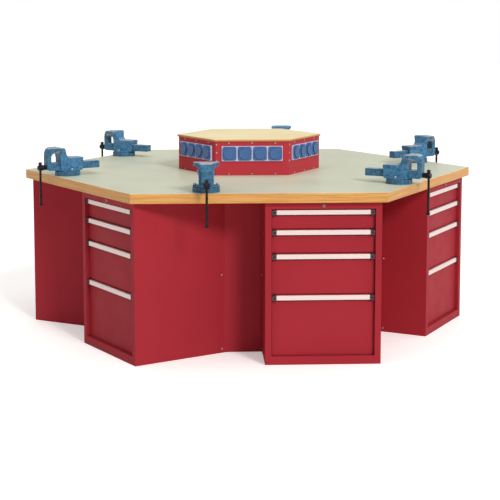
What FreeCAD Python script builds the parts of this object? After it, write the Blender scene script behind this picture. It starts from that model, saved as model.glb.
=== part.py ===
import FreeCAD, Part

import math
import operator
import os

import Sketcher

# A six-sided workshop bench: a hexagonal worktop on six drawer cabinets, with a bench vice
# on each side and a socket pod in the middle. Everything repeats six times about +Z.
# Origin: on the floor under the centre. +X points at a worktop corner, -Y at side 1.

SIDES = 6
TURN = 360 / SIDES
COS, SIN = math.cos(math.radians(TURN)), math.sin(math.radians(TURN))

SIZES = {
    # worktop
    "hex_side": 1250,
    "wood_thick": 48,
    "covering_thick": 3,
    "covering_inset": 5,
    # cabinets
    "cab_left": 29.5,
    "cab_width": 573,
    "cab_depth": 572,
    "cab_height": 811,
    "cab_setback": 31,
    "sheet": 1.5,
    "stile": 31,
    "plinth": 42,
    "frame_return": 33,
    "lock_drop": 20,
    "lock_radius": 6.5,
    # drawers, from the top row down
    "pitch_one": 100,
    "pitch_two": 120,
    "pitch_three": 205,
    "pitch_four": 309,
    "front_gap": 3,
    "front_recess": 21,
    "front_depth": 16,
    "tray_width": 480,
    "tray_depth": 520,
    "tray_lift": 6,
    "tray_headroom": 28,
    "grip_length": 461,
    "grip_out": 13,
    "rail_length": 500,
    "rail_reach": 42,
    "rail_height": 28,
    "rail_wall": 2,
    "rail_start": 39,
    "rail_lift": 8,
    "runner_gap": 3,
    "runner_rise": 6,
    # knee panels
    "panel_y": 790,
    "panel_flange": 30,
    "panel_lift": 2,
    "screw_low": 22,
    "screw_middle": 405,
    "screw_high": 789,
    "screw_radius": 4.5,
    # power pod
    "pod_side": 395,
    "pod_height": 182,
    "lid_side": 403,
    "lid_thick": 12,
    "corner_screw": 191,
    "corner_screw_up": 122,
    "corner_screw_pitch": 43,
    "socket_pitch": 82,
    "socket_drop": 64,
    "socket_plate": 9,
    "socket_cover": 71,
    "well_radius": 27,
    "plug_radius": 19.5,
    "pin_pitch": 19,
    # vices, in their own frame: out from the pivot, across, and up from the worktop
    "vice_x": -257,
    "vice_inset": 84,
    "base_radius": 68,
    "base_height": 24,
    "pivot_radius": 15,
    "bolt_circle": 46,
    "foot_radius": 60,
    "body_half": 37,
    "body_floor": 26,
    "anvil_top": 98,
    "anvil_rear": 76,
    "jaw_half": 63,
    "jaw_top": 152,
    "column_half": 25,
    "jaw_line": 62,
    "jaw_front": 128,
    "slide_half": 24,
    "slide_low": 33,
    "slide_high": 72,
    "slide_wall": 5.5,
    "slide_rear": 180,
    "axis_up": 48,
    "spindle_radius": 10,
    "head_radius": 15.5,
    "head_out": 172,
    "bar_out": 159,
    "bar_radius": 6,
    "bar_drop": 202,
    "fit_gap": 0.3,
}

ROWS = ["one", "two", "three", "four"]
SHAFT_AIM = FreeCAD.Rotation(FreeCAD.Vector(1, 0, 0), 90)

doc = FreeCAD.newDocument("six_sided_workbench")
sheet = doc.addObject("Spreadsheet::Sheet", "Sizes")
for row, (alias, number) in enumerate(SIZES.items(), start=1):
    sheet.set(f"A{row}", alias)
    sheet.set(f"B{row}", str(number))
    sheet.setAlias(f"B{row}", alias)
doc.recompute()


class Size:
    """A length together with the spreadsheet formula that drives it."""

    def __init__(self, formula, value):
        self.formula = formula
        self.value = value

    def __add__(self, other):
        return joined(self, "+", operator.add, other)

    def __radd__(self, other):
        return joined(other, "+", operator.add, self)

    def __sub__(self, other):
        return joined(self, "-", operator.sub, other)

    def __rsub__(self, other):
        return joined(other, "-", operator.sub, self)

    def __mul__(self, other):
        return joined(self, "*", operator.mul, other)

    def __truediv__(self, other):
        return joined(self, "/", operator.truediv, other)

    def __neg__(self):
        return 0 - self


def as_size(length):
    return length if isinstance(length, Size) else Size(repr(length), length)


def joined(first, sign, work, second):
    first, second = as_size(first), as_size(second)
    return Size(f"({first.formula} {sign} {second.formula})", work(first.value, second.value))


def size(alias):
    return Size(f"Sizes.{alias}", SIZES[alias])


def value_of(length):
    return as_size(length).value


def bind(feature, prop, length):
    """Sets a feature's size, and ties it to the spreadsheet where a Size drives it."""
    setattr(feature, prop, value_of(length))
    if isinstance(length, Size):
        feature.setExpression(prop, length.formula)


def move(feature, place, aim=None):
    """Places a feature at (x, y, z), turned by aim."""
    base = FreeCAD.Vector(*[value_of(length) for length in place])
    feature.Placement = FreeCAD.Placement(base, aim or FreeCAD.Rotation())
    for axis, length in zip("xyz", place):
        if isinstance(length, Size):
            feature.setExpression(f"Placement.Base.{axis}", length.formula)
    return feature


def box(name, low, high):
    """A block between two opposite corners."""
    feature = doc.addObject("Part::Box", name)
    for prop, a, b in zip(("Length", "Width", "Height"), low, high):
        bind(feature, prop, b - a)
    return move(feature, low)


def round_bar(name, radius, length, place, aim=None):
    feature = doc.addObject("Part::Cylinder", name)
    bind(feature, "Radius", radius)
    bind(feature, "Height", length)
    return move(feature, place, aim)


def hexagon(name, side, height, lift):
    feature = doc.addObject("Part::Prism", name)
    feature.Polygon = SIDES
    bind(feature, "Circumradius", side)
    bind(feature, "Height", height)
    return move(feature, (0, 0, lift))


def fuse(name, *features):
    feature = doc.addObject("Part::MultiFuse", name)
    feature.Shapes = list(features)
    return feature


def cut(name, base, *tools):
    feature = doc.addObject("Part::Cut", name)
    feature.Base = base
    feature.Tool = tools[0] if len(tools) == 1 else fuse(name + "_tools", *tools)
    return feature


def common(name, first, second):
    feature = doc.addObject("Part::Common", name)
    feature.Base = first
    feature.Tool = second
    return feature


def group(name, features, turn=0):
    """Several solids in one object, turned about +Z."""
    feature = doc.addObject("Part::Compound", name)
    feature.Links = list(features)
    feature.Placement = FreeCAD.Placement(FreeCAD.Vector(), FreeCAD.Rotation(turn, 0, 0))
    return feature


def ring_of_six(name, features):
    """The same solids on all six sides."""
    return group(name, [group(f"{name}_side_{side}", features, TURN * side) for side in range(SIDES)])


def sketch_of(body, plane, outline):
    """A closed outline of straight lines on one of the body's own planes, every corner dimensioned."""
    sketch = body.newObject("Sketcher::SketchObject", body.Name + "_outline")
    origin = [f for f in body.Origin.OriginFeatures if f.Role == plane][0]
    sketch.AttachmentSupport = (origin, [""])
    sketch.MapMode = "FlatFace"
    corners = [FreeCAD.Vector(value_of(a), value_of(b), 0) for a, b in outline]
    for corner, following in zip(corners, corners[1:] + corners[:1]):
        sketch.addGeometry(Part.LineSegment(corner, following), False)
    for i, lengths in enumerate(outline):
        sketch.addConstraint(Sketcher.Constraint("Coincident", i, 2, (i + 1) % len(outline), 1))
        for kind, length in zip(("DistanceX", "DistanceY"), lengths):
            index = sketch.addConstraint(Sketcher.Constraint(kind, -1, 1, i, 1, value_of(length)))
            if isinstance(length, Size):
                sketch.setExpression(f"Constraints[{index}]", length.formula)
    return sketch


def padded(name, plane, outline, length, place=(0, 0, 0)):
    """An outline padded to both sides of its plane."""
    body = doc.addObject("PartDesign::Body", name)
    pad = body.newObject("PartDesign::Pad", name + "_pad")
    pad.Profile = sketch_of(body, plane, outline)
    pad.SideType = "Symmetric"
    bind(pad, "Length", length)
    body.Tip = pad
    return move(body, place)


def turned(name, outline, place=(0, 0, 0), aim=None):
    """An outline of (radius, height) points revolved about the body's Z axis."""
    body = doc.addObject("PartDesign::Body", name)
    revolution = body.newObject("PartDesign::Revolution", name + "_turned")
    sketch = sketch_of(body, "XZ_Plane", outline)
    revolution.Profile = sketch
    revolution.ReferenceAxis = (sketch, ["V_Axis"])
    revolution.Angle = 360
    body.Tip = revolution
    return move(body, place, aim)


# ---- shared positions ----

APOTHEM = size("hex_side") * SIN
TOP = size("cab_height") + size("wood_thick")
FACE = size("cab_setback") - APOTHEM
BACK = FACE + size("cab_depth")
LEFT = size("cab_left")
RIGHT = LEFT + size("cab_width")
MIDDLE = LEFT + size("cab_width") / 2
OPENING = size("cab_width") / 2 - size("stile")
SHEET = size("sheet")


def row_bottoms():
    """The height of the underside of each drawer row, from the top row down."""
    heights = []
    bottom = size("plinth")
    for name in reversed(ROWS):
        heights.insert(0, bottom)
        bottom = bottom + size("pitch_" + name)
    return heights


# ---- worktop ----


def worktop():
    wood = hexagon("worktop_wood", size("hex_side"), size("wood_thick"), size("cab_height"))
    recess = hexagon(
        "worktop_recess",
        size("hex_side") - size("covering_inset"),
        size("covering_thick") * 2,
        TOP - size("covering_thick"),
    )
    return cut("worktop", wood, recess)


def worktop_covering():
    side = size("hex_side") - size("covering_inset")
    lift = TOP - size("covering_thick")
    return hexagon("worktop_covering", side, size("covering_thick"), lift)


# ---- cabinets ----


def cabinet_housing():
    """A folded sheet shell with a framed front opening, and a hole in the top rail for the lock."""
    height = size("cab_height")
    low, high = size("plinth"), row_bottoms()[0] + size("pitch_one")
    shell = cut(
        "cabinet_shell",
        box("cabinet_outside", (LEFT, FACE, 0), (RIGHT, BACK, height)),
        box(
            "cabinet_inside",
            (LEFT + SHEET, FACE + SHEET, SHEET),
            (RIGHT - SHEET, BACK - SHEET, height - SHEET),
        ),
    )
    returns = box(
        "front_returns",
        (MIDDLE - OPENING - SHEET, FACE, low - SHEET),
        (MIDDLE + OPENING + SHEET, FACE + size("frame_return"), high + SHEET),
    )
    opening = box(
        "front_opening",
        (MIDDLE - OPENING, FACE - 1, low),
        (MIDDLE + OPENING, FACE + size("frame_return") + 1, high),
    )
    lock_hole = round_bar(
        "lock_hole",
        size("lock_radius") + size("fit_gap"),
        SHEET * 4,
        (MIDDLE, FACE + SHEET * 2, height - size("lock_drop")),
        SHAFT_AIM,
    )
    return cut("cabinet_housing", fuse("cabinet_framed", shell, returns), opening, lock_hole)


def cabinet_lock():
    """A round lock barrel with a flange and a key slot, through the middle of the top rail."""
    barrel = size("lock_radius")
    outline = [
        (0, -26),
        (barrel, -26),
        (barrel, 0),
        (barrel + 2, 0),
        (barrel + 2, 2),
        (barrel + 1, 3),
        (0, 3),
    ]
    lift = size("cab_height") - size("lock_drop")
    body = turned("lock_barrel", outline, (MIDDLE, FACE, lift), SHAFT_AIM)
    slot = box("key_slot", (MIDDLE - 1, FACE - 4, lift - 4), (MIDDLE + 1, FACE - 1, lift + 4))
    return cut("cabinet_lock", body, slot)


def channel(reach, height, wall):
    """A C section that lies open towards +X, from (0, 0)."""
    return [
        (0, 0),
        (reach, 0),
        (reach, wall),
        (wall, wall),
        (wall, height - wall),
        (reach, height - wall),
        (reach, height),
        (0, height),
    ]


def mirrored(outline):
    return [(-a, b) for a, b in outline]


def channel_pair(name, section, inset, lift):
    """A left and a right channel along a cabinet's side walls, inset from them."""
    length = size("rail_length")
    middle = FACE + size("rail_start") + length / 2
    left = (LEFT + SHEET + inset, middle, lift)
    right = (RIGHT - SHEET - inset, middle, lift)
    return [
        padded(name + "_left", "XZ_Plane", section, length, left),
        padded(name + "_right", "XZ_Plane", mirrored(section), length, right),
    ]


def rails(name, bottom):
    """The two rails of one drawer row, fixed to the cabinet's side walls."""
    section = channel(size("rail_reach"), size("rail_height"), size("rail_wall"))
    return channel_pair("rail_" + name, section, 0, bottom + size("rail_lift"))


def knee_panel():
    """A sheet across the wedge between two cabinets, with a flange screwed to each side wall."""
    web = -size("panel_y")
    flange = size("panel_flange")
    slope = SIN / COS
    corner_x = RIGHT * COS + BACK * SIN
    corner_y = BACK * COS - RIGHT * SIN

    def wall_x(y):
        return corner_x + (y - corner_y) * slope

    outline = [
        (wall_x(web) - flange * SIN, web - flange * COS),
        (wall_x(web) - flange * SIN + SHEET * COS, web - flange * COS - SHEET * SIN),
        (wall_x(web) + SHEET / COS, web),
        (LEFT - SHEET, web),
        (LEFT - SHEET, web - flange),
        (LEFT, web - flange),
        (LEFT, web + SHEET),
        (wall_x(web + SHEET), web + SHEET),
    ]
    height = size("cab_height") - size("panel_lift") * 2
    return padded("knee_panel", "XY_Plane", outline, height, (0, 0, size("cab_height") / 2))


def screw_head(name, place, aim):
    radius = size("screw_radius")
    outline = [(0, 0), (radius, 0), (radius, 1), (radius * 0.6, 2.6), (0, 2.6)]
    return turned(name, outline, place, aim)


def panel_screws():
    """Three screws on each flange of one knee panel."""
    found = []
    half = size("panel_flange") / 2
    web = -size("panel_y")
    near_x = RIGHT * COS + BACK * SIN + (web - BACK * COS + RIGHT * SIN) * (SIN / COS)
    straight = FreeCAD.Rotation(FreeCAD.Vector(0, 1, 0), -90)
    slanted = FreeCAD.Rotation(FreeCAD.Vector(0, 0, 1), -TURN).multiply(
        FreeCAD.Rotation(FreeCAD.Vector(0, 1, 0), 90)
    )
    for level in ("low", "middle", "high"):
        lift = size("screw_" + level)
        found.append(screw_head(f"screw_right_{level}", (LEFT - SHEET, web - half, lift), straight))
        place = (near_x - half * SIN + SHEET * COS, web - half * COS - SHEET * SIN, lift)
        found.append(screw_head(f"screw_left_{level}", place, slanted))
    return found


# ---- drawers ----


def drawer(name, bottom):
    """One drawer: a welded sheet tray with its front, a grip, two end caps and two runners."""
    pitch = size("pitch_" + name)
    front_y = FACE + size("front_recess")
    tray_y = front_y + SHEET
    half = OPENING - size("front_gap") * 0.75
    tray_half = size("tray_width") / 2
    top = bottom + pitch - size("front_gap") / 2
    low = bottom + size("front_gap") / 2
    floor = bottom + size("tray_lift")
    rim = bottom + pitch - size("tray_headroom")
    pan = cut(
        f"front_{name}",
        box(
            f"front_outside_{name}",
            (MIDDLE - half, front_y, low),
            (MIDDLE + half, front_y + size("front_depth"), top),
        ),
        box(
            f"front_inside_{name}",
            (MIDDLE - half + SHEET, front_y + SHEET, low + SHEET),
            (MIDDLE + half - SHEET, front_y + size("front_depth") + 1, top - SHEET),
        ),
    )
    tray = cut(
        f"tray_{name}",
        box(
            f"tray_outside_{name}",
            (MIDDLE - tray_half, tray_y, floor),
            (MIDDLE + tray_half, tray_y + size("tray_depth"), rim),
        ),
        box(
            f"tray_inside_{name}",
            (MIDDLE - tray_half + SHEET, tray_y + SHEET, floor + SHEET),
            (MIDDLE + tray_half - SHEET, tray_y + size("tray_depth") - SHEET, rim + 1),
        ),
    )
    return [
        fuse(f"drawer_shell_{name}", pan, tray),
        grip(name, front_y, top),
        *end_caps(name, front_y, top, half),
        *runners(name, tray_half, bottom),
    ]


def grip(name, front_y, top):
    """A hooked aluminium strip, open below for the fingers."""
    out = size("grip_out")
    outline = [
        (0, -32),
        (0, -4),
        (2 - out, -4),
        (-out, -5.5),
        (-out, -27),
        (2.5 - out, -27),
        (2.5 - out, -7),
        (-2, -7),
        (-2, -32),
    ]
    return padded(f"grip_{name}", "YZ_Plane", outline, size("grip_length"), (MIDDLE, front_y, top))


def end_caps(name, front_y, top, half):
    """The two moulded caps at the ends of a grip, each with a square dimple in its face."""
    caps = []
    grip_half = size("grip_length") / 2
    out = size("grip_out") + 1
    for side, inner, outer in (("left", -half, -grip_half), ("right", grip_half, half)):
        cap = box(
            f"cap_block_{side}_{name}",
            (MIDDLE + inner, front_y - out, top - 32),
            (MIDDLE + outer, front_y, top - 2),
        )
        centre = MIDDLE + (inner + outer) / 2
        dimple = box(
            f"cap_dimple_{side}_{name}",
            (centre - 6, front_y - out - 1, top - 23),
            (centre + 6, front_y - out + 2, top - 11),
        )
        caps.append(cut(f"cap_{side}_{name}", cap, dimple))
    return caps


def runners(name, tray_half, bottom):
    """The channels on the tray's sides: they pass the front opening and run inside the rails."""
    inset = size("stile") - SHEET + size("runner_gap")
    reach = size("cab_width") / 2 - SHEET - tray_half - inset
    height = size("rail_height") - size("runner_rise") * 2
    section = channel(reach, height, size("rail_wall"))
    lift = bottom + size("rail_lift") + size("runner_rise")
    return channel_pair("runner_" + name, section, inset, lift)


# ---- power pod ----

POD_FACE = -(size("pod_side") * SIN)
SOCKET_UP = TOP + size("pod_height") - size("socket_drop")
SOCKETS = (-1.5, -0.5, 0.5, 1.5)


def pod_housing():
    """A hexagonal sheet wall with one opening per side for the sockets."""
    outside = hexagon("pod_outside", size("pod_side"), size("pod_height"), TOP)
    inside = hexagon("pod_inside", size("pod_side") - SHEET / SIN, size("pod_height") + 2, TOP - 1)
    half_w, half_h = size("socket_pitch") * 1.85, size("socket_pitch") * 0.38
    slot = box(
        "pod_opening",
        (-half_w, POD_FACE - 1, SOCKET_UP - half_h),
        (half_w, POD_FACE + 5, SOCKET_UP + half_h),
    )
    return cut("pod_housing", outside, inside, ring_of_six("pod_openings", [slot]))


def socket_parts():
    """One side's four-gang frame with its wells, the four hinged covers, and the six wall screws."""
    pitch = size("socket_pitch")
    front = POD_FACE - size("socket_plate")
    plate = box(
        "socket_plate",
        (pitch * -2, front, SOCKET_UP - pitch / 2),
        (pitch * 2, POD_FACE, SOCKET_UP + pitch / 2),
    )
    holes, wells, covers = [], [], []
    for number, step in enumerate(SOCKETS, start=1):
        centre = pitch * step
        hole_width = size("socket_cover") + 3
        holes.append(rounded_square(f"cover_hole_{number}", centre, hole_width, front - 1, front + 6))
        wells.append(socket_well(number, centre))
        covers.append(socket_cover(number, centre, front))
    return [cut("socket_frame", plate, *holes), *wells], covers


def socket_well(number, centre):
    """The block behind one cover, with a round recess for the plug and two pin holes."""

    def bore(name, radius, depth, across=0):
        place = (centre + across, POD_FACE + depth, SOCKET_UP)
        return round_bar(f"{name}_{number}", radius, depth, place, SHAFT_AIM)

    pin_across = size("pin_pitch") / 2
    return cut(
        f"socket_well_{number}",
        bore("well_block", size("well_radius"), 40),
        bore("well_recess", size("plug_radius"), 17),
        bore("pin_hole_left", 2.5, 36, -pin_across),
        bore("pin_hole_right", 2.5, 36, pin_across),
    )


def socket_cover(number, centre, front):
    """A sprung cover with its hinge barrel along the upper edge."""
    width = size("socket_cover")
    hinge = (centre - 13, front - 2.5, SOCKET_UP + width / 2 - 2)
    aim = FreeCAD.Rotation(FreeCAD.Vector(0, 1, 0), 90)
    return fuse(
        f"socket_cover_{number}",
        rounded_square(f"cover_face_{number}", centre, width, front - 3, front + 5),
        round_bar(f"cover_hinge_{number}", 3.5, 26, hinge, aim),
    )


def rounded_square(name, centre, width, front, back):
    """A square with arcs for corners, between two planes across the pod's face."""
    half = width / 2
    square = box(
        name + "_square",
        (centre - half, front, SOCKET_UP - half),
        (centre + half, back, SOCKET_UP + half),
    )
    disc = round_bar(name + "_disc", half * 1.27, back - front, (centre, back, SOCKET_UP), SHAFT_AIM)
    return common(name, square, disc)


def pod_screws():
    """Three screws above and three below one side's sockets, and three up its left-hand corner."""
    spots = [(125 * (column - 1), TOP + 8) for column in range(3)]
    spots += [(125 * (column - 1), TOP + size("pod_height") - 8) for column in range(3)]
    low = TOP + size("corner_screw_up")
    spots += [(-size("corner_screw"), low + size("corner_screw_pitch") * step) for step in (-1, 0, 1)]
    return [
        screw_head(f"pod_screw_{number}", (across, POD_FACE, lift), SHAFT_AIM)
        for number, (across, lift) in enumerate(spots, start=1)
    ]


# ---- vices ----

FOOT = size("base_height") + size("fit_gap")
LINE_IN = size("jaw_line") - size("fit_gap") / 2
LINE_OUT = size("jaw_line") + size("fit_gap") / 2
PLATE_LOW = size("jaw_top") - 18
ARM_IN = 54
LONG = 400


def vice_base():
    """The fixed disc with its pivot pin, and the four sunk bolts that hold it down."""
    radius, height = size("base_radius"), size("base_height")
    pin_top = size("body_floor") + 2
    seat = height - 10
    outline = [
        (0, 0),
        (radius, 0),
        (radius, height - 3),
        (radius - 3, height),
        (size("pivot_radius"), height),
        (size("pivot_radius"), pin_top),
        (0, pin_top),
    ]
    holes, bolts = [], []
    for number, angle in enumerate((45, 135, 225, 315)):
        x = size("bolt_circle") * math.cos(math.radians(angle))
        y = size("bolt_circle") * math.sin(math.radians(angle))
        holes.append(round_bar(f"bolt_hole_{number}", 4.6, LONG, (x, y, -1)))
        holes.append(round_bar(f"bolt_pocket_{number}", 9, LONG, (x, y, seat)))
        head = doc.addObject("Part::Prism", f"bolt_head_{number}")
        head.Polygon = 6
        head.Circumradius = 7.5
        head.Height = 5.5
        move(head, (x, y, seat))
        shank = round_bar(f"bolt_shank_{number}", 4.5, seat, (x, y, 0))
        bolts.append(fuse(f"base_bolt_{number}", head, shank))
    return [cut("vice_disc", turned("vice_disc_turned", outline), *holes), *bolts]


def across_profile(name, half):
    """A vice part seen from the front: a column that flares to the full width of the jaws."""
    jaw, top = size("jaw_half"), size("jaw_top")
    edge = [(half, 0), (half, top - 46), (half + 4, top - 34), (jaw - 8, top - 17), (jaw, top - 10)]
    outline = [*edge, (jaw, top + 1), (-jaw, top + 1), *mirrored(edge[::-1])]
    return padded(name, "XZ_Plane", outline, LONG * 2)


def taper_profile(name):
    """The moving jaw seen from above: full width at its plate, narrowing to the outer column."""
    jaw, column, front = size("jaw_half"), size("column_half"), size("jaw_front")
    edge = [(jaw, -ARM_IN), (jaw, -size("jaw_line") - 12), (column + 4, 12 - front), (column, -front)]
    return padded(name, "XY_Plane", [*edge, *mirrored(edge[::-1])], LONG * 2)


def along_profile(name, outline, width):
    """A side outline of (out, up) points, as wide as asked; out is towards -Y."""
    return padded(name, "YZ_Plane", mirrored(outline), width)


def screw_bore(name, start):
    """A bore round the screw, outwards from start."""
    radius = size("spindle_radius") + size("fit_gap")
    return round_bar(name, radius, LONG, (0, start, size("axis_up")), SHAFT_AIM)


def jaw_plate(name, inner, outer):
    half = size("jaw_half")
    return box(name, (-half, -outer, PLATE_LOW), (half, -inner, size("jaw_top")))


def vice_body():
    """The swivelling body with its fixed jaw, the nut on a pedestal, a jaw plate and two clamp bolts."""
    floor, anvil, top = size("body_floor"), size("anvil_top"), size("jaw_top")
    rear, line, half = size("anvil_rear"), LINE_IN, size("slide_half")
    gap = size("fit_gap")
    outline = [
        (-rear, floor + 8),
        (8 - rear, floor),
        (ARM_IN, floor),
        (ARM_IN, top - 58),
        (ARM_IN + 3, top - 42),
        (line, top - 28),
        (line, PLATE_LOW),
        (line - 8, PLATE_LOW),
        (line - 8, top),
        (44, top),
        (35, top - 12),
        (20, top - 40),
        (8, anvil),
        (-rear, anvil),
    ]
    side_view = along_profile("body_side", outline, size("jaw_half") * 2)
    casting = common("body_casting", side_view, across_profile("body_front", size("body_half")))
    slab_half = size("body_half") + 4
    anvil_slab = box("anvil_slab", (-slab_half, 0, anvil - 16), (slab_half, rear, anvil))
    foot = round_bar("foot_disc", size("foot_radius"), floor + 4 - FOOT, (0, 0, FOOT))
    lugs = box("clamp_lugs", (-66, -12, FOOT), (66, 12, floor + 8))
    passage = box(
        "slide_passage",
        (-half - gap, -LONG / 2, size("slide_low") - gap),
        (half + gap, LONG / 2, size("slide_high") + gap),
    )
    pin_hole = round_bar("pivot_hole", size("pivot_radius") + gap, 10, (0, 0, floor - 7))
    joined_up = fuse("body_joined", casting, anvil_slab, foot, lugs)
    hollow = cut("body_hollow", joined_up, passage, pin_hole)
    pedestal = cut(
        "nut_pedestal",
        box("nut_block", (-15, -20, size("slide_low") - gap), (15, 35, size("slide_high") - 9)),
        screw_bore("nut_bore", LONG / 2),
    )
    bolt = [(0, floor + 8), (8, floor + 8), (8, floor + 14), (6.5, floor + 16), (0, floor + 16)]
    bolts = [
        turned(f"clamp_bolt_{side}", bolt, (shift, 0, 0)) for side, shift in (("left", -56), ("right", 56))
    ]
    return [fuse("vice_casting", hollow, pedestal), jaw_plate("fixed_plate", line - 8, line), *bolts]


def vice_jaw():
    """The moving jaw on its hollow slide, with a jaw plate and a plug in the slide's rear end."""
    top, line, front = size("jaw_top"), LINE_OUT, size("jaw_front")
    low, high, half, wall = size("slide_low"), size("slide_high"), size("slide_half"), size("slide_wall")
    inner = size("fit_gap") + ARM_IN
    outline = [
        (inner, low - 3),
        (front - 12, low - 3),
        (front, low + 8),
        (front, top - 40),
        (front - 4, top - 20),
        (front - 12, top - 6),
        (front - 24, top),
        (line + 8, top),
        (line + 8, PLATE_LOW),
        (line, PLATE_LOW),
        (line, top - 28),
        (front - 34, top - 30),
        (front - 26, top - 38),
        (front - 24, top - 48),
        (front - 24, high),
        (inner, high),
    ]
    side_view = along_profile("jaw_side", outline, size("jaw_half") * 2)
    flared = common("jaw_flared", side_view, across_profile("jaw_across", size("column_half")))
    casting = common("jaw_casting", flared, taper_profile("jaw_plan"))
    slide = box("slide_bar", (-half, -inner - 1, low), (half, size("slide_rear") - 6, high))
    cavity = box("slide_cavity", (wall - half, 12 - front, low - 6), (half - wall, LONG, high - wall))
    bore = screw_bore("jaw_bore", 0)
    plug = box("slide_plug", (-half, size("slide_rear") - 6, low), (half, size("slide_rear"), high))
    return [
        cut("jaw_and_slide", fuse("jaw_joined", casting, slide), cavity, bore),
        jaw_plate("moving_plate", line, line + 8),
        plug,
    ]


def vice_spindle():
    """The screw with its collar and round head, cross-drilled for the tommy bar."""
    radius, head = size("spindle_radius"), size("head_radius")
    front = size("jaw_front") + size("fit_gap")
    out = size("head_out")
    outline = [
        (0, -150),
        (radius - 2, -150),
        (radius, -148),
        (radius, front),
        (head - 2, front),
        (head - 2, front + 14),
        (head, front + 17),
        (head, out - 5),
        (head - 4, out),
        (0, out),
    ]
    body = turned("spindle_turned", outline, (0, 0, size("axis_up")), SHAFT_AIM)
    hole_radius = size("bar_radius") + size("fit_gap")
    hole = round_bar("bar_hole", hole_radius, 100, (0, -size("bar_out"), size("axis_up") - 50))
    return [cut("spindle", body, hole)]


def vice_handle():
    """The tommy bar, hanging by its upper knob through the spindle's head."""
    bar, knob = size("bar_radius"), size("bar_radius") + 3.5
    low = -size("bar_drop")
    seat = size("head_radius") + size("fit_gap")
    outline = [
        (0, low),
        (knob - 3, low),
        (knob, low + 3),
        (knob, low + 11),
        (knob - 2, low + 14),
        (bar, low + 14),
        (bar, seat),
        (knob - 2, seat),
        (knob, seat + 3),
        (knob, seat + 11),
        (knob - 3, seat + 14),
        (0, seat + 14),
    ]
    return [turned("tommy_bar", outline, (0, -size("bar_out"), size("axis_up")))]


def on_side(name, features, side, stand):
    """A vice part carried from the vice's own frame to its stand, then turned to its side."""
    placed = group(name + "_placed", features)
    move(placed, stand)
    return group(name, [placed], TURN * (side - 1))


# ---- assembly ----


def build():
    stand = (size("vice_x"), size("vice_inset") - APOTHEM, TOP)
    frames, covers = socket_parts()
    bottoms = row_bottoms()
    base = move(group("vice_base_placed", vice_base()), stand)
    all_rails = [rail for name, low in zip(ROWS, bottoms) for rail in rails(name, low)]
    nodes = [
        worktop(),
        worktop_covering(),
        ring_of_six("cabinet_housings", [cabinet_housing()]),
        ring_of_six("cabinet_locks", [cabinet_lock()]),
        ring_of_six("drawer_rails", all_rails),
        ring_of_six("knee_panels", [knee_panel()]),
        ring_of_six("panel_and_pod_screws", panel_screws() + pod_screws()),
        pod_housing(),
        hexagon("pod_lid", size("lid_side"), size("lid_thick"), TOP + size("pod_height")),
        ring_of_six("socket_frames", frames),
        ring_of_six("socket_covers", covers),
        ring_of_six("vice_bases", [base]),
    ]
    for number, (name, low) in enumerate(zip(ROWS, bottoms), start=1):
        pieces = drawer(name, low)
        for side in range(1, SIDES + 1):
            nodes.append(group(f"drawer_{side}_{number}", pieces, TURN * (side - 1)))
    for part, make in (
        ("body", vice_body),
        ("jaw", vice_jaw),
        ("spindle", vice_spindle),
        ("handle", vice_handle),
    ):
        pieces = make()
        nodes += [on_side(f"vice_{side}_{part}", pieces, side, stand) for side in range(1, SIDES + 1)]
    return nodes


def checked(nodes):
    """Recomputes, and refuses a failed feature or a bad shape."""
    doc.recompute()
    for feature in doc.Objects:
        if {"Invalid", "Error"} & set(feature.State):
            raise RuntimeError(f"{feature.Label} failed: {feature.State}")
    for node in nodes:
        if node.Shape.isNull() or not node.Shape.isValid():
            raise RuntimeError(f"{node.Label} has a bad shape")
    return nodes


os.makedirs("parts", exist_ok=True)
for finished in checked(build()):
    finished.Shape.exportStep(f"parts/{finished.Label}.step")
    print(finished.Label, len(finished.Shape.Solids), "solids", round(finished.Shape.Volume / 1000), "cm3")
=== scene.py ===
import math

import bmesh
import bpy
from mathutils import Matrix, Vector


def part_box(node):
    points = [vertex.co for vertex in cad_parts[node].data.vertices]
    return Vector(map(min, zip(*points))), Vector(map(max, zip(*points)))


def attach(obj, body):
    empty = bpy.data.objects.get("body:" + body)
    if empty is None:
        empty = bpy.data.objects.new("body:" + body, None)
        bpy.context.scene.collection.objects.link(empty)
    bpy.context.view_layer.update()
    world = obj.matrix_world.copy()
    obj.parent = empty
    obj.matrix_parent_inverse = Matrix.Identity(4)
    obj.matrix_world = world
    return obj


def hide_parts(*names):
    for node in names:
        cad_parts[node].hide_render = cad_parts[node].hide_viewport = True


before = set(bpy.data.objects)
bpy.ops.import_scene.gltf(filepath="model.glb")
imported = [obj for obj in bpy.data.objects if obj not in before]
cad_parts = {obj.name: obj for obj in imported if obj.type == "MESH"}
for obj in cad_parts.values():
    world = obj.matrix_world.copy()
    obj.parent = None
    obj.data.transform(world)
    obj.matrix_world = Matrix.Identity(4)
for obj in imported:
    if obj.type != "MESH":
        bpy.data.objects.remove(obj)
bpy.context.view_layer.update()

# Lengths are metres. Side 1 of the bench faces -Y, and side K is side 1 turned (K - 1) times about +Z.

MM = 0.001
SIDES = range(1, 7)
ROWS = range(1, 5)
TURN = math.tau / 6
WELD = 0.01 * MM
FLAT = math.radians(1)
SHARP = math.radians(28)
BLACK, WHITE = (0, 0, 0, 1), (1, 1, 1, 1)
MIX_COLOUR_INPUTS, MIX_COLOUR_OUTPUT = (0, 6, 7), 2
# Heights of the vice tops, where the castings get a painted highlight.
TOP_HIGHLIGHT_FROM, TOP_HIGHLIGHT_TO = 924 * MM, 930 * MM
GRIP_HOOK_DEPTH = 11.8 * MM


# ---- finishes ----


def colour(red, green, blue):
    """A linear colour from the usual 0-255 values."""
    parts = [c / 255 for c in (red, green, blue)]
    return (*[c / 12.92 if c <= 0.04045 else ((c + 0.055) / 1.055) ** 2.4 for c in parts], 1)


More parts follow.
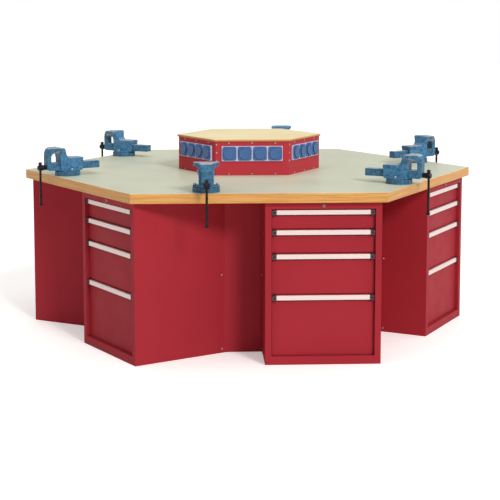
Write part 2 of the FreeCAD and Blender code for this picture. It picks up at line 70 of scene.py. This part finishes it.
class Finish:
    """A material under construction. Its patterns lie in the piece's own metres."""

    def __init__(self, name, **plain):
        self.material = bpy.data.materials.new(name)
        self.material.use_nodes = True
        self.tree = self.material.node_tree
        self.shader = self.tree.nodes["Principled BSDF"]
        self.coordinates = self.node("TexCoord")
        self.place = self.coordinates.outputs["Object"]
        for socket, value in plain.items():
            self.set(socket.replace("_", " "), value)

    def node(self, kind, *values, **settings):
        """Adds a node; values fill its inputs in order, and a socket among them is linked."""
        made = self.tree.nodes.new("ShaderNode" + kind)
        for key, value in settings.items():
            setattr(made, key, value)
        for socket, value in zip(made.inputs, values):
            self.feed(socket, value)
        return made

    def feed(self, socket, value):
        if isinstance(value, bpy.types.NodeSocket):
            self.tree.links.new(value, socket)
        elif value is not None:
            socket.default_value = value

    def set(self, socket, value):
        self.feed(self.shader.inputs[socket], value)

    def maths(self, operation, *values):
        return self.node("Math", *values, operation=operation).outputs[0]

    def stretched(self, x, y, z, place=None):
        """The place with each direction multiplied, so that a number under 1 draws a pattern out."""
        factors = self.node("VectorMath", place or self.place, (x, y, z), operation="MULTIPLY")
        return factors.outputs[0]

    def noise(self, grain, detail=2, place=None):
        """Soft noise from 0 to 1 whose blotches are about one grain across."""
        made = self.node("TexNoise", place or self.place)
        made.inputs["Scale"].default_value = 1 / grain
        made.inputs["Detail"].default_value = detail
        return made.outputs["Fac"]

    def cells(self, grain, feature="F1"):
        """Distance from the middle of the nearest cell, with cells about one grain across."""
        made = self.node("TexVoronoi", self.place, feature=feature)
        made.inputs["Scale"].default_value = 1 / grain
        return made.outputs["Distance"]

    def height(self, low, high):
        """0 at the low level and below, 1 at the high one and above."""
        level = self.node("SeparateXYZ", self.place).outputs["Z"]
        return self.spread(level, low, high, 0, 1)

    def spread(self, value, low, high, first, last):
        """A value from low to high, laid out from first to last."""
        return self.node("MapRange", value, low, high, first, last).outputs[0]

    def ramp(self, value, *stops):
        """A colour for each value, from (position, colour) stops."""
        made = self.node("ValToRGB", value)
        elements = made.color_ramp.elements
        while len(elements) < len(stops):
            elements.new(0.5)
        for element, (position, shade) in zip(elements, stops):
            element.position = position
            element.color = shade
        return made.outputs["Color"]

    def mask(self, value, low, high):
        """Black under low, white over high."""
        return self.ramp(value, (low, BLACK), (high, WHITE))

    def blend(self, share, first, second):
        """The first colour with a share of the second one over it."""
        made = self.tree.nodes.new("ShaderNodeMix")
        made.data_type = "RGBA"
        for index, value in zip(MIX_COLOUR_INPUTS, (share, first, second)):
            self.feed(made.inputs[index], value)
        return made.outputs[MIX_COLOUR_OUTPUT]

    def crevice_shade(self, reach):
        """Ambient occlusion as a mask for painted shade: 1 deep in the piece's own gaps and inside
        corners, falling to 0 on open faces.
        """
        made = self.node("AmbientOcclusion", samples=8, only_local=True)
        made.inputs["Distance"].default_value = reach
        return self.spread(made.outputs["AO"], 0.1, 0.75, 1, 0)

    def upward(self):
        """1 on faces that look up or down, 0 on upright ones."""
        normal = self.node("SeparateXYZ", self.coordinates.outputs["Normal"]).outputs["Z"]
        return self.spread(self.maths("ABSOLUTE", normal), 0.6, 0.8, 0, 1)

    def turned_to_side_one(self):
        """The place turned about Z on to side 1, so that a grain runs along every side alike."""
        x, y, _ = self.node("SeparateXYZ", self.place).outputs
        angle = self.maths("ADD", self.maths("ARCTAN2", y, x), math.pi / 2)
        steps = self.maths("ROUND", self.maths("DIVIDE", angle, TURN))
        turned = self.node("VectorRotate", self.place, rotation_type="Z_AXIS")
        self.feed(turned.inputs["Angle"], self.maths("MULTIPLY", steps, -TURN))
        return turned.outputs[0]

    def paint(self, shade, roughness=None, relief=None, depth=0):
        """Colour, roughness and a relief of the given depth; returns the finished material."""
        self.set("Base Color", shade)
        self.set("Roughness", roughness)
        if relief is not None:
            bump = self.node("Bump")
            bump.inputs["Distance"].default_value = depth
            self.feed(bump.inputs["Height"], relief)
            self.set("Normal", bump.outputs[0])
        return self.material


def red_enamel(name="red_enamel", wear=0.45, dark=(144, 37, 47), light=(166, 43, 53)):
    """Powder coat: orange-peel skin, slight cloudiness, scuffs near the floor, and painted shade in its
    own gaps and inside corners.
    """
    f = Finish(name, Specular_IOR_Level=0.08)
    clouds = f.noise(0.5, 3)
    shade = f.blend(clouds, colour(*dark), colour(*light))
    low = f.height(0.16, 0.0)
    scratches = f.mask(f.noise(0.004, 5, f.stretched(0.12, 0.12, 1)), 0.66, 0.72)
    scuffs = f.maths("MULTIPLY", scratches, f.spread(low, 0, 1, wear * 0.12, wear))
    shade = f.blend(scuffs, shade, colour(120, 62, 62))
    # Painted shade: the enamel is darkened towards deep red-brown in its own gaps and inside corners.
    shade = f.blend(f.maths("MULTIPLY", f.crevice_shade(0.03), 0.75), shade, colour(58, 20, 26))
    peel = f.noise(0.0035, 2)
    return f.paint(shade, f.spread(f.noise(0.09, 4), 0.3, 0.7, 0.42, 0.54), peel, 0.08 * MM)


def beech_edge():
    """Laminated beech: long fine grain along every side, short dark flecks, and paler faces that look up
    or down.
    """
    f = Finish("beech_edge", Specular_IOR_Level=0.4)
    along = f.turned_to_side_one()
    grain = f.noise(0.007, 6, f.stretched(0.035, 1, 1, along))
    shade = f.ramp(
        grain,
        (0.3, colour(184, 124, 58)),
        (0.5, colour(208, 152, 80)),
        (0.72, colour(222, 172, 104)),
    )
    patches = f.noise(0.16, 2, f.stretched(0.5, 1, 1, along))
    shade = f.blend(f.spread(patches, 0.35, 0.7, 0, 0.35), shade, colour(192, 130, 66))
    flecks = f.mask(f.noise(0.0022, 3, f.stretched(0.16, 1, 1, along)), 0.63, 0.7)
    shade = f.blend(f.maths("MULTIPLY", flecks, 0.4), shade, colour(150, 88, 38))
    rim = f.blend(grain, colour(238, 204, 150), colour(250, 226, 180))
    shade = f.blend(f.upward(), shade, rim)
    return f.paint(shade, f.spread(grain, 0.3, 0.7, 0.34, 0.48), grain, 0.12 * MM)


def covering():
    """Linoleum: fine flecks in grey green, soft clouds and a few long faint scuffs."""
    f = Finish("covering", Specular_IOR_Level=0.5)
    clouds = f.noise(0.4, 3)
    shade = f.blend(clouds, colour(202, 206, 182), colour(215, 217, 194))
    flecks = f.noise(0.0016, 2)
    shade = f.blend(f.spread(flecks, 0.3, 0.7, 0, 0.35), shade, colour(182, 187, 164))
    scuffs = f.mask(f.noise(0.011, 6, f.stretched(0.05, 0.6, 1)), 0.66, 0.7)
    shade = f.blend(f.maths("MULTIPLY", scuffs, 0.16), shade, colour(150, 150, 136))
    return f.paint(shade, f.spread(clouds, 0.3, 0.7, 0.3, 0.42), flecks, 0.05 * MM)


def birch_lid(low, high):
    """Birch plywood: pale figured face, and an oiled edge with its darker middle ply."""
    f = Finish("birch_ply", Specular_IOR_Level=0.35)
    grain = f.noise(0.02, 5, f.stretched(0.06, 1, 1))
    face = f.ramp(
        grain,
        (0.3, colour(232, 212, 160)),
        (0.55, colour(243, 228, 182)),
        (0.75, colour(249, 238, 200)),
    )
    flames = f.noise(0.09, 3, f.stretched(0.25, 1, 1))
    face = f.blend(f.spread(flames, 0.4, 0.7, 0, 0.4), face, colour(230, 205, 150))
    plies = f.ramp(
        f.height(low, high),
        (0.0, colour(150, 84, 40)),
        (0.3, colour(160, 92, 52)),
        (0.36, colour(206, 144, 94)),
        (0.94, colour(214, 154, 104)),
        (1.0, colour(240, 200, 140)),
    )
    edge = f.blend(f.spread(grain, 0.3, 0.7, 0, 0.3), plies, colour(190, 118, 62))
    shade = f.blend(f.upward(), edge, face)
    return f.paint(shade, f.spread(grain, 0.3, 0.7, 0.38, 0.5), grain, 0.1 * MM)


def blue_casting(name, bright, deep, dark):
    """Hammered blue lacquer over rough cast iron, nearly black where chipped, with a painted highlight on
    the tops and painted shade in its own crevices.
    """
    f = Finish(name, Specular_IOR_Level=0.12, Coat_Weight=0.1, Coat_Roughness=0.1)
    dimples = f.cells(0.0045, feature="SMOOTH_F1")
    shade = f.blend(dimples, colour(*bright), colour(*deep))
    uneven = f.noise(0.016, 4)
    shade = f.blend(f.spread(uneven, 0.42, 0.66, 0, 0.5), shade, colour(*dark))
    chips = f.mask(f.noise(0.006, 5), 0.7, 0.73)
    shade = f.blend(f.maths("MULTIPLY", chips, 0.6), shade, colour(34, 40, 48))
    # Painted highlight: faces looking up at the height of the vice tops are lightened towards pinkish
    # white.
    top_highlight = f.maths("MULTIPLY", f.upward(), f.height(TOP_HIGHLIGHT_FROM, TOP_HIGHLIGHT_TO))
    shade = f.blend(f.maths("MULTIPLY", top_highlight, 0.5), shade, colour(206, 200, 206))
    # Painted shade: the casting is darkened towards navy in its own gaps and inside corners.
    shade = f.blend(f.maths("MULTIPLY", f.crevice_shade(0.05), 0.85), shade, colour(20, 30, 48))
    return f.paint(shade, f.spread(dimples, 0, 0.7, 0.26, 0.46), dimples, 0.6 * MM)


def jaw_steel():
    """Serrated steel, dark between the teeth, and pale pinkish along the top: rubbed steel with a painted
    highlight over it.
    """
    f = Finish("jaw_steel", Metallic=0.1, Specular_IOR_Level=0.15)
    stains = f.noise(0.02, 4)
    face = f.blend(stains, colour(28, 34, 46), colour(50, 58, 72))
    # The top's pale pinkish colour is rubbed steel with a painted highlight, a reflection of the red and
    # white around it.
    top = f.blend(stains, colour(226, 204, 208), colour(240, 222, 226))
    shade = f.blend(f.upward(), face, top)
    cuts = f.node("TexWave", f.place, wave_type="BANDS", bands_direction="DIAGONAL")
    cuts.inputs["Scale"].default_value = 120
    return f.paint(shade, f.spread(stains, 0.3, 0.7, 0.28, 0.45), cuts.outputs["Fac"], 0.3 * MM)


def black_steel():
    """Blackened steel, rubbed brighter in patches."""
    f = Finish("black_steel", Metallic=0.7)
    top_highlight = f.noise(0.018, 5)
    shade = f.ramp(top_highlight, (0.4, colour(24, 23, 25)), (0.75, colour(62, 58, 58)))
    fine = f.noise(0.0012, 3)
    return f.paint(shade, f.spread(top_highlight, 0.3, 0.7, 0.5, 0.3), fine, 0.08 * MM)


def grip_aluminium(shade_from):
    """Satin anodised extrusion, drawn out along its length; the plate behind the hook is painted
    near-black as the shade under the grip.
    """
    f = Finish("grip_aluminium", Metallic=0.25, Specular_IOR_Level=0.7)
    lines = f.noise(0.0009, 3, f.stretched(0.01, 1, 1))
    shade = f.blend(lines, colour(222, 202, 198), colour(240, 222, 218))
    depth = f.node("SeparateXYZ", f.place).outputs["Y"]
    # Painted shade: everything behind the hook is near-black, standing for the shadowed gap under the
    # grip.
    shade = f.blend(f.spread(depth, shade_from - 0.2 * MM, shade_from, 0, 1), shade, colour(46, 30, 33))
    smudges = f.noise(0.04, 3, f.stretched(0.3, 1, 1))
    return f.paint(shade, f.spread(smudges, 0.3, 0.7, 0.26, 0.42), lines, 0.03 * MM)


def moulding(name, dark, light, low=0.32, high=0.46):
    """Moulded plastic with a fine spark-eroded grain and slightly uneven colour."""
    f = Finish(name)
    spark = f.noise(0.0008, 2)
    shade = f.blend(f.noise(0.02, 3), colour(*dark), colour(*light))
    return f.paint(shade, f.spread(spark, 0.3, 0.7, low, high), spark, 0.04 * MM)


def zinc_steel():
    """Galvanised sheet with its spangle."""
    f = Finish("zinc_steel", Metallic=0.9)
    spangle = f.cells(0.009)
    shade = f.blend(spangle, colour(150, 154, 158), colour(196, 199, 202))
    return f.paint(shade, f.spread(spangle, 0, 0.8, 0.32, 0.52), spangle, 0.03 * MM)


def chrome():
    """Plated brass, dulled by handling; its pinkish tint is a painted reflection of the red enamel around
    it.
    """
    f = Finish("chrome", Metallic=1)
    haze = f.noise(0.004, 4)
    # Painted reflection: the pinkish base colour stands for the red enamel mirrored in the plating.
    shade = f.blend(haze, colour(150, 104, 108), colour(172, 128, 132))
    return f.paint(shade, f.spread(haze, 0.3, 0.7, 0.22, 0.4), haze, 0.01 * MM)


lid_low, lid_high = (corner.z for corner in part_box("pod_lid"))
# The depth behind which the grip is painted in shade.
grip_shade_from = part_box("drawer_1_1")[0].y + GRIP_HOOK_DEPTH
RED = red_enamel()
RED_EDGE = red_enamel("red_enamel_edge", wear=0.9)
# A lighter copy of the red enamel: the pod's extra brightness is painted light.
RED_POD_LIT = red_enamel("red_enamel_pod_lit", 0, (168, 50, 60), (188, 58, 66))
BEECH = beech_edge()
COVERING = covering()
BIRCH = birch_lid(lid_low, lid_high)
BLUE_BODY = blue_casting("blue_casting", (88, 148, 188), (38, 82, 124), (24, 42, 66))
# A darker copy of the body's blue for the moving jaw: painted shade.
BLUE_JAW_SHADED = blue_casting("blue_jaw_casting_shaded", (80, 134, 166), (32, 70, 104), (20, 36, 56))
BLUE_BASE = blue_casting("blue_base_casting", (80, 124, 154), (40, 78, 104), (28, 44, 62))
JAW_STEEL = jaw_steel()
BLACK_STEEL = black_steel()
ALUMINIUM = grip_aluminium(grip_shade_from)
CAP_PLASTIC = moulding("cap_plastic", (20, 10, 12), (36, 22, 25), 0.5, 0.7)
CAP_RING = moulding("cap_ring", (96, 62, 66), (116, 80, 84), 0.5, 0.7)
PALE_PLASTIC = moulding("pale_plastic", (172, 168, 206), (200, 196, 226))
BLUE_PLASTIC = moulding("blue_plastic", (48, 86, 142), (68, 108, 162))
ZINC = zinc_steel()
CHROME = chrome()


# ---- CAD nodes that stay: finishes and rounded edges ----


def dress(node, finish, radius, edge_finish=None):
    """Gives a CAD node its finish, and rounds its edges without touching its mesh."""
    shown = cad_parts[node]
    finishes = [finish] + ([edge_finish] if edge_finish else [])
    while len(shown.material_slots) < len(finishes):
        shown.data.materials.append(None)
    for slot, wanted in zip(shown.material_slots, finishes):
        slot.link = "OBJECT"
        slot.material = wanted
    weld = shown.modifiers.new("weld", "WELD")
    weld.merge_threshold = WELD
    faces = shown.modifiers.new("whole_faces", "DECIMATE")
    faces.decimate_type = "DISSOLVE"
    faces.angle_limit = FLAT
    bevel = shown.modifiers.new("round_edges", "BEVEL")
    bevel.limit_method = "ANGLE"
    bevel.angle_limit = SHARP
    bevel.width = radius
    bevel.segments = 2
    bevel.material = 1 if edge_finish else -1
    even_shading(shown)


def even_shading(shown):
    """Keeps flat faces flat and lets the rounded edges between them shade smoothly."""
    normals = shown.modifiers.new("even_shading", "WEIGHTED_NORMAL")
    normals.mode = "FACE_AREA"
    normals.weight = 80


dress("worktop", BEECH, 1.2 * MM)
dress("worktop_covering", COVERING, 0.4 * MM)
dress("cabinet_housings", RED, 0.7 * MM, RED_EDGE)
dress("knee_panels", RED, 0.6 * MM, RED_EDGE)
dress("pod_housing", RED_POD_LIT, 0.7 * MM)
dress("pod_lid", BIRCH, 1.2 * MM)
dress("drawer_rails", ZINC, 0.5 * MM)
dress("cabinet_locks", CHROME, 0.4 * MM)
dress("panel_and_pod_screws", ZINC, 0.3 * MM)


# ---- new pieces, made from the solids of a CAD node ----


def solids_of(node):
    """A mesh for each separate solid of a CAD node, with every flat face whole."""
    work = bmesh.new()
    work.from_mesh(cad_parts[node].data)
    bmesh.ops.remove_doubles(work, verts=work.verts, dist=WELD)
    bmesh.ops.dissolve_limit(work, angle_limit=FLAT, verts=work.verts, edges=work.edges)
    work.faces.index_update()
    owner = {}
    for start in work.faces:
        reached = [] if start.index in owner else [start]
        while reached:
            face = reached.pop()
            owner[face.index] = start.index
            near = [other for edge in face.edges for other in edge.link_faces]
            reached += [other for other in near if other.index not in owner]
    meshes = []
    for first in sorted(set(owner.values())):
        members = [face for face in work.faces if owner[face.index] == first]
        verts = list(dict.fromkeys(vert for face in members for vert in face.verts))
        order = {vert: number for number, vert in enumerate(verts)}
        faces = [[order[vert] for vert in face.verts] for face in members]
        mesh = bpy.data.meshes.new(node + "_solid")
        mesh.from_pydata([vert.co[:] for vert in verts], [], faces)
        meshes.append(mesh)
    work.free()
    return meshes


def box_of(mesh):
    corners = list(zip(*[vert.co for vert in mesh.vertices]))
    return Vector(map(min, corners)), Vector(map(max, corners))


def size_of(mesh):
    low, high = box_of(mesh)
    return high - low


def rounded(mesh, radius, segments=2):
    """Rounds every sharp edge of a mesh."""
    work = bmesh.new()
    work.from_mesh(mesh)
    sharp = [edge for edge in work.edges if edge.is_manifold and edge.calc_face_angle() > SHARP]
    bmesh.ops.bevel(
        work,
        geom=sharp,
        offset=radius,
        offset_type="OFFSET",
        segments=segments,
        profile=0.5,
        affect="EDGES",
        clamp_overlap=True,
    )
    work.to_mesh(mesh)
    work.free()
    return mesh


def cast(mesh, grain, passes, kept):
    """Softens a solid all over, as if it were cast in sand."""
    mould = bpy.data.objects.new("mould", mesh)
    bpy.context.scene.collection.objects.link(mould)
    skin = mould.modifiers.new("skin", "REMESH")
    skin.mode = "VOXEL"
    skin.voxel_size = grain
    soften = mould.modifiers.new("soften", "SMOOTH")
    soften.factor = 0.5
    soften.iterations = passes
    thin = mould.modifiers.new("thin", "DECIMATE")
    thin.ratio = kept
    bpy.context.view_layer.update()
    shaped = bpy.data.meshes.new_from_object(mould.evaluated_get(bpy.context.evaluated_depsgraph_get()))
    bpy.data.objects.remove(mould)
    return shaped


def lathe(profile, centre, axis, steps=48):
    """A solid of revolution from (radius, along) points, along the given axis from the centre."""
    work = bmesh.new()
    rings = []
    for radius, along in profile:
        if radius == 0:
            rings.append([work.verts.new((0, 0, along))])
            continue
        angles = [math.tau * step / steps for step in range(steps)]
        rings.append([work.verts.new((radius * math.cos(a), radius * math.sin(a), along)) for a in angles])
    for lower, upper in zip(rings, rings[1:]):
        for step in range(steps):
            following = (step + 1) % steps
            corners = [
                lower[step % len(lower)],
                lower[following % len(lower)],
                upper[following % len(upper)],
                upper[step % len(upper)],
            ]
            work.faces.new(list(dict.fromkeys(corners)))
    for ring in (rings[0], rings[-1]):
        if len(ring) > 1:
            work.faces.new(ring)
    bmesh.ops.recalc_face_normals(work, faces=work.faces)
    aim = Vector((0, 0, 1)).rotation_difference(Vector(axis)).to_matrix().to_4x4()
    work.transform(Matrix.Translation(centre) @ aim)
    mesh = bpy.data.meshes.new("lathe")
    work.to_mesh(mesh)
    work.free()
    return mesh


def block(low, high, radius):
    """A block with rounded edges."""
    low, high = Vector(low), Vector(high)
    work = bmesh.new()
    middle = Matrix.Translation((low + high) / 2)
    bmesh.ops.create_cube(work, size=1, matrix=middle @ Matrix.Diagonal((*(high - low), 1)))
    mesh = bpy.data.meshes.new("block")
    work.to_mesh(mesh)
    work.free()
    return rounded(mesh, radius)


def assembled(name, parts):
    """One mesh out of (mesh, finish) pairs, each keeping its own finish."""
    finishes = list(dict.fromkeys(finish for _, finish in parts))
    work = bmesh.new()
    for mesh, finish in parts:
        before = len(work.faces)
        work.from_mesh(mesh)
        work.faces.ensure_lookup_table()
        for face in work.faces[before:]:
            face.material_index = finishes.index(finish)
            face.smooth = True
    whole = bpy.data.meshes.new(name)
    work.to_mesh(whole)
    work.free()
    for finish in finishes:
        whole.materials.append(finish)
    return whole


def on_side(name, mesh, side, body, slot, *nodes):
    """Places a side-1 mesh on its own side, riding on a body and standing for CAD nodes."""
    piece = bpy.data.objects.new(name, mesh)
    bpy.context.scene.collection.objects.link(piece)
    piece.matrix_world = Matrix.Rotation(TURN * (side - 1), 4, "Z")
    even_shading(piece)
    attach(piece, body)
    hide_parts(*nodes)
    return piece


# ---- drawers ----

WIDE_PART, DEEP_PART = 450 * MM, 300 * MM
RING_OUTER, RING_INNER, RING_PROUD, RING_ROUNDING = 9.5 * MM, 6.5 * MM, 0.4 * MM, 0.15 * MM


def drawer_parts(row):
    """The welded box, the grip, its end caps with their square rings, and the runners."""
    parts = []
    for solid in solids_of(f"drawer_1_{row}"):
        wide, deep, _ = size_of(solid)
        if wide > WIDE_PART and deep > DEEP_PART:
            parts.append((rounded(solid, 0.7 * MM), RED))
        elif wide > WIDE_PART:
            parts.append((rounded(solid, 0.6 * MM), ALUMINIUM))
        elif deep > DEEP_PART:
            parts.append((rounded(solid, 0.4 * MM), ZINC))
        else:
            parts.append((cap_ring(solid), CAP_RING))
            parts.append((rounded(solid, 0.8 * MM), CAP_PLASTIC))
    return parts


def cap_ring(cap):
    """The square ring moulded round the dimple of an end cap."""
    low, high = box_of(cap)
    middle = (low + high) / 2
    front, proud = low.y, low.y - RING_PROUD
    work = bmesh.new()
    corners = [(-1, -1), (1, -1), (1, 1), (-1, 1)]
    rings = []
    for reach, y in (
        (RING_OUTER, front),
        (RING_OUTER, proud),
        (RING_INNER, proud),
        (RING_INNER, front),
    ):
        ring = [work.verts.new((middle.x + reach * a, y, middle.z + reach * b)) for a, b in corners]
        rings.append(ring)
    for first, second in zip(rings, rings[1:] + rings[:1]):
        for step in range(4):
            following = (step + 1) % 4
            work.faces.new((first[step], first[following], second[following], second[step]))
    bmesh.ops.recalc_face_normals(work, faces=work.faces)
    mesh = bpy.data.meshes.new("cap_ring")
    work.to_mesh(mesh)
    work.free()
    return rounded(mesh, RING_ROUNDING, 1)


for row in ROWS:
    drawer_mesh = assembled(f"drawer_row_{row}", drawer_parts(row))
    for side in SIDES:
        node = f"drawer_{side}_{row}"
        on_side(node + "_with_grip", drawer_mesh, side, node, "red_enamel", node)


# ---- vices ----

CASTING_HEIGHT, JAW_WIDTH, PLUG_WIDTH = 60 * MM, 100 * MM, 30 * MM
CRISP_EDGE = 0.8 * MM
LARGE_PART = 100 * MM


def vice_parts(node, casting):
    """Castings softened; jaw plates, clamp bolts and the slide's black plug crisp."""
    parts = []
    for solid in solids_of(node):
        wide, _, tall = size_of(solid)
        if tall > CASTING_HEIGHT:
            parts.append((cast(solid, 1.8 * MM, 8, 0.3), casting))
        elif wide > JAW_WIDTH:
            parts.append((rounded(solid, CRISP_EDGE), JAW_STEEL))
        elif wide > PLUG_WIDTH:
            parts.append((rounded(solid, CRISP_EDGE), BLACK_STEEL))
        else:
            parts.append((rounded(solid, CRISP_EDGE), ZINC))
    return parts


def black_parts(node):
    return [(rounded(solid, CRISP_EDGE), BLACK_STEEL) for solid in solids_of(node)]


body_mesh = assembled("vice_body_cast", vice_parts("vice_1_body", BLUE_BODY))
jaw_mesh = assembled("vice_jaw_cast", vice_parts("vice_1_jaw", BLUE_JAW_SHADED))
screw_mesh = assembled("vice_screw", black_parts("vice_1_spindle"))
bar_mesh = assembled("vice_bar", black_parts("vice_1_handle"))

for side in SIDES:
    vice = f"vice_{side}_"
    on_side(vice + "body_casting", body_mesh, side, vice + "body", "blue_casting", vice + "body")
    on_side(vice + "jaw_casting", jaw_mesh, side, vice + "jaw", "blue_casting", vice + "jaw")
    on_side(vice + "screw", screw_mesh, side, vice + "spindle", "black_steel", vice + "spindle")
    on_side(vice + "tommy_bar", bar_mesh, side, vice + "handle", "black_steel", vice + "handle")


def on_side_one(mesh):
    """True if a solid belongs to side 1, by the direction from the centre to its middle."""
    low, high = box_of(mesh)
    middle = (low + high) / 2
    return abs(math.atan2(middle.x, -middle.y)) < TURN / 2


def base_parts():
    """One vice's base disc and its hold-down bolts."""
    parts = []
    for solid in filter(on_side_one, solids_of("vice_bases")):
        if size_of(solid).x > LARGE_PART:
            parts.append((rounded(solid, 1.2 * MM, 3), BLUE_BASE))
        else:
            parts.append((rounded(solid, 0.5 * MM), ZINC))
    return parts


base_mesh = assembled("vice_base", base_parts())
for side in SIDES:
    on_side(f"vice_base_{side}", base_mesh, side, "bench", "blue_casting", "vice_bases")


# ---- sockets ----

COVER_FACE = 2.5 * MM
TAB_LOW, TAB_HIGH = Vector((-8, -4.5, -32)) * MM, Vector((8, 0, -26)) * MM
LID_PROFILE = [
    (29.5 * MM, 0),
    (29.5 * MM, 3.6 * MM),
    (28.6 * MM, 4.8 * MM),
    (26.8 * MM, 5.2 * MM),
    (25.6 * MM, 4.4 * MM),
    (22 * MM, 4.0 * MM),
    (0, 4.3 * MM),
]


def frame_parts():
    """One side's four-gang frame, and the wells behind its covers."""
    parts = []
    for solid in filter(on_side_one, solids_of("socket_frames")):
        if size_of(solid).x > LARGE_PART:
            parts.append((rounded(solid, 1.2 * MM), PALE_PLASTIC))
        else:
            parts.append((rounded(solid, 0.5 * MM), BLUE_PLASTIC))
    return parts


def cover_parts():
    """One side's four covers, each with a raised round lid and a finger tab below it."""
    parts = []
    for solid in filter(on_side_one, solids_of("socket_covers")):
        low, high = box_of(solid)
        centre = Vector(((low.x + high.x) / 2, low.y + COVER_FACE, (low.z + high.z) / 2))
        parts.append((rounded(solid, 0.9 * MM), BLUE_PLASTIC))
        parts.append((lathe(LID_PROFILE, centre, (0, -1, 0)), BLUE_PLASTIC))
        parts.append((block(centre + TAB_LOW, centre + TAB_HIGH, 1 * MM), BLUE_PLASTIC))
    return parts


frame_mesh = assembled("socket_frame", frame_parts())
cover_mesh = assembled("socket_covers_of_one_side", cover_parts())
for side in SIDES:
    on_side(f"socket_frame_{side}", frame_mesh, side, "bench", "pale_plastic", "socket_frames")
    on_side(f"socket_covers_{side}", cover_mesh, side, "bench", "blue_plastic", "socket_covers")


# ---- floor, light and camera ----

FLOOR_RADIUS = 40
FLOOR_GLOW = 0.3
FILL_STRENGTH = 0.46
CAMERA_PLACE = (-0.3522, -7.4682, 1.7104)
CAMERA_DOWN, CAMERA_RIGHT = 6.792, 2.738
SENSOR_WIDTH, LENS, SHIFT_UP = 36, 96.09, -0.15
FAR = 200


def studio_floor():
    """A pale floor, a little brighter to the camera than its own light makes it."""
    bpy.ops.mesh.primitive_circle_add(radius=FLOOR_RADIUS, vertices=96, fill_type="NGON")
    floor = bpy.context.active_object
    floor.name = "floor"
    material = bpy.data.materials.new("floor")
    material.use_nodes = True
    tree = material.node_tree
    shader = tree.nodes["Principled BSDF"]
    shader.inputs["Base Color"].default_value = (0.86, 0.86, 0.85, 1)
    shader.inputs["Roughness"].default_value = 0.8
    shader.inputs["Emission Color"].default_value = WHITE
    seen = tree.nodes.new("ShaderNodeLightPath").outputs["Is Camera Ray"]
    glow = tree.nodes.new("ShaderNodeMath")
    glow.operation = "MULTIPLY"
    glow.inputs[1].default_value = FLOOR_GLOW
    tree.links.new(seen, glow.inputs[0])
    tree.links.new(glow.outputs[0], shader.inputs["Emission Strength"])
    floor.data.materials.append(material)


def sun(name, energy, spread, elevation, azimuth):
    """A broad sun; spread, elevation and azimuth are in degrees, azimuth from the front to the right."""
    light = bpy.data.lights.new(name, "SUN")
    light.energy = energy
    light.angle = math.radians(spread)
    light.color = (1, 0.985, 0.96)
    lamp = bpy.data.objects.new(name, light)
    bpy.context.scene.collection.objects.link(lamp)
    lamp.rotation_euler = (math.radians(90 - elevation), 0, math.radians(azimuth))


def studio_light():
    """Even light all round, a soft key from the front right, and softboxes overhead and behind."""
    world = bpy.data.worlds.new("studio")
    bpy.context.scene.world = world
    world.use_nodes = True
    tree = world.node_tree
    fill = tree.nodes["Background"]
    fill.inputs["Color"].default_value = (1, 0.99, 0.98, 1)
    fill.inputs["Strength"].default_value = FILL_STRENGTH
    backdrop = tree.nodes.new("ShaderNodeBackground")
    backdrop.inputs["Color"].default_value = WHITE
    seen = tree.nodes.new("ShaderNodeLightPath").outputs["Is Camera Ray"]
    choice = tree.nodes.new("ShaderNodeMixShader")
    for source, target in (
        (seen, choice.inputs[0]),
        (fill.outputs[0], choice.inputs[1]),
        (backdrop.outputs[0], choice.inputs[2]),
        (choice.outputs[0], tree.nodes["World Output"].inputs["Surface"]),
    ):
        tree.links.new(source, target)
    sun("key", 2.0, 14, 31, 28)
    sun("overhead", 1.0, 70, 88, 0)
    sun("rim", 0.22, 36, 14, 150)


def photo_camera():
    """Standing in front, a little to the left, looking slightly right and down."""
    data = bpy.data.cameras.new("camera")
    data.lens = LENS
    data.sensor_width = SENSOR_WIDTH
    data.shift_y = SHIFT_UP
    data.clip_end = FAR
    camera = bpy.data.objects.new("camera", data)
    bpy.context.scene.collection.objects.link(camera)
    camera.location = CAMERA_PLACE
    camera.rotation_euler = (math.radians(90 - CAMERA_DOWN), 0, math.radians(-CAMERA_RIGHT))
    bpy.context.scene.camera = camera


studio_floor()
studio_light()
photo_camera()
bpy.context.scene.view_settings.view_transform = "Standard"
